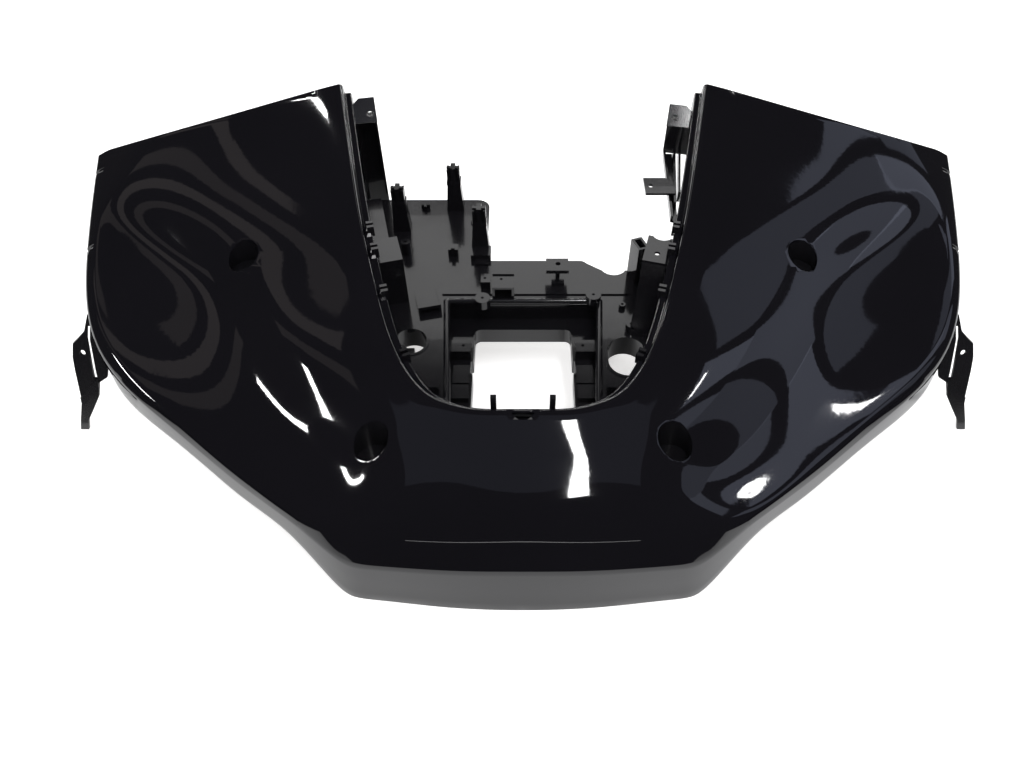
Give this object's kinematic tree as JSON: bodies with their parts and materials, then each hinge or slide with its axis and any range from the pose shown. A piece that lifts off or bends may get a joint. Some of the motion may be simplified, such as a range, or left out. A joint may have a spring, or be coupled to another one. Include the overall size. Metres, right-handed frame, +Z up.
{
  "type": "quad bike front body panel",
  "caption": "Gloss black one-piece front body panel of a quad bike: two wings round a U-shaped gap, a low nose, four rack wells and a carrier floor with a tray opening, posts and tabs.",
  "frame": {"origin": "centre of the footprint, at the ground the loose panel lies on", "axes": "+Z up, -Y towards the nose, +X across the panel to the viewer's right when seen from the nose"},
  "size_m": [1.1276, 0.6058, 0.259],
  "materials": {
    "body": "gloss black, moulded in colour"
  },
  "bodies": {
    "root": {"front_body_panel": "body"}
  },
  "joints": []
}
